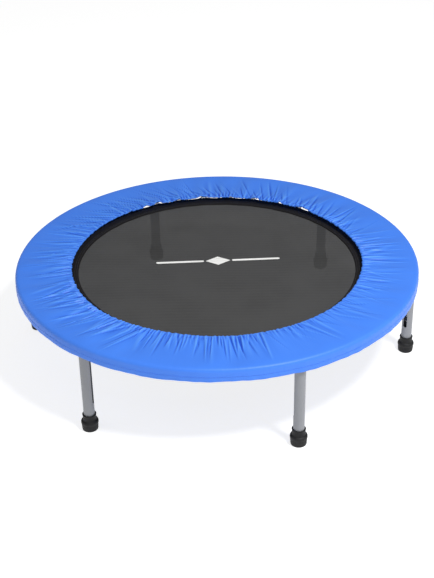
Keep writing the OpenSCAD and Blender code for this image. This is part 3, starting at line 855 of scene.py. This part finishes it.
def weldBead(leg):
    # A bead round the saddle where it meets the ring: a circle about the leg's axis whose height follows
    # the underside of the tube, with a small even ripple along it
    turn = np.linspace(0, 2 * np.pi, 120, endpoint=False)
    radius = legRadius + 0.0002
    x, y = leg["pivot"].x + radius * np.cos(turn), leg["pivot"].y + radius * np.sin(turn)
    off = np.clip(np.hypot(x, y) - ringRadius, -tubeRadius, tubeRadius)
    z = ringHeight - np.sqrt(np.maximum(tubeRadius ** 2 - off ** 2, 0))
    path = np.stack([x, y, np.minimum(z, ringHeight - tubeRadius / 2 + 0.0006)], axis=-1)
    grid = tubeGrid(path, 1.0, sides=10, closed=True)
    size = 0.0015 + 0.00025 * np.sin(turn * 26)
    return path[:, None] + (grid - path[:, None]) * size[:, None, None]


# the tension spring inside a leg; tail is the straight wire between an eye and the coils
legSpringSize = {"wire": 0.0008, "lowEye": 0.003, "topEye": 0.0025, "turns": 31, "tail": 0.009,
                 "coil": 0.0042}


def legSpringPath(leg):
    # An eye round the lower pin, a helix about the leg's axis, and an eye round the upper rivet
    low, high = [Vector(v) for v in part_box(f"leg_spring_{leg['number']}")]
    wire, lowEye, topEye = [legSpringSize[key] for key in ("wire", "lowEye", "topEye")]
    bottom, top = low.z + wire + 2 * lowEye, high.z - wire - 2 * topEye
    turns = legSpringSize["turns"]
    t = np.linspace(0, 1, turns * 12 + 1)
    first, last = bottom + legSpringSize["tail"], top - legSpringSize["tail"]
    reach = legSpringSize["coil"] * smooth(t * turns / 0.6) * smooth((1 - t) * turns / 0.6)
    helix = np.stack([reach * np.cos(2 * np.pi * turns * t), reach * np.sin(2 * np.pi * turns * t),
                      first + (last - first) * t], axis=-1)
    lowLoop = arcPath((0, bottom - lowEye), lowEye, -230, 82, 22)
    topLoop = arcPath((0, top + topEye), topEye, -82, 230, 22)
    return np.concatenate([lowLoop, helix, topLoop])


for leg in legs:
    number = leg["number"]
    centre = (leg["pivot"].x, leg["pivot"].y, 0.0)
    place = np.array(Matrix.Translation(centre) @ Matrix.Rotation(leg["angle"], 4, "Z"))
    profile = footProfile()
    turn = np.linspace(0, 2 * np.pi, footSize["around"], endpoint=False)[None, :]
    footGrid = polar(profile[:, :1], turn, profile[:, 1:]) + np.array(centre)
    foot = gridMesh(f"rubberFoot{number}", footGrid, footRubber, weld=True)
    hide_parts(f"leg_foot_{number}")
    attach(foot, leg["body"])

    bead = gridMesh(f"weldBead{number}", weldBead(leg), paintedTube, along=True)
    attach(bead, "frame")

    springPoints = copies(tubeGrid(legSpringPath(leg), legSpringSize["wire"], sides=6), place[None])
    legSpring = manyGrids(f"legSpring{number}", springPoints, legSpringWire)
    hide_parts(f"leg_spring_{number}")
    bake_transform(legSpring)
print("legs made")


# Backdrop paper: matt and white, lit a little from itself so that shadows on it stay faint. Lights: place,
# diameter in metres and power in watts.
studio = {"floor": "b8b8b8", "glow": 0.79, "world": 0.27, "floorHalf": 50,
          "key": ((1.1, -1.35, 2.8), 0.6, 84.0), "fill": ((-2.2, -0.6, 2.2), 1.6, 3.0)}
paper = {"Emission Color": (1, 1, 1, 1), "Emission Strength": studio["glow"]}
floorMaterial, floorTree, floorShader = newMaterial("matt white backdrop paper", studio["floor"], 0.9, paper)
grainPlace = addNode(floorTree, "ShaderNodeTexCoord").outputs["Object"]
grain = addNode(floorTree, "ShaderNodeTexNoise", {"Scale": 400.0, "Detail": 2.0}, {"Vector": grainPlace})
grainBump = addNode(floorTree, "ShaderNodeBump", {"Strength": 0.03, "Distance": 0.0005},
                    {"Height": grain.outputs["Fac"]})
floorTree.links.new(grainBump.outputs["Normal"], floorShader.inputs["Normal"])
floorX, floorY = np.meshgrid(*[np.linspace(-studio["floorHalf"], studio["floorHalf"], 21)] * 2, indexing="ij")
floorGrid = np.stack([floorX, floorY, np.full_like(floorX, -0.0005)], axis=-1)
floor = gridMesh("floor", floorGrid, floorMaterial, around=False)


def softLight(name, place, size, power):
    # A disk light turned to face the middle of the trampoline
    data = bpy.data.lights.new(name, "AREA")
    data.shape = "DISK"
    data.size = size
    data.energy = power
    light = bpy.data.objects.new(name, data)
    way = Vector(place) - Vector((0, 0, 0.2))
    light.matrix_world = Matrix.Translation(place) @ way.to_track_quat("Z", "Y").to_matrix().to_4x4()
    bpy.context.scene.collection.objects.link(light)


softLight("keyLight", *studio["key"])
softLight("fillLight", *studio["fill"])
world = bpy.data.worlds.new("studio")
bpy.context.scene.world = world
world.use_nodes = True
world.node_tree.nodes["Background"].inputs["Color"].default_value = (1, 1, 1, 1)
world.node_tree.nodes["Background"].inputs["Strength"].default_value = studio["world"]
bpy.context.scene.view_settings.view_transform = "Standard"
print("floor and light made")
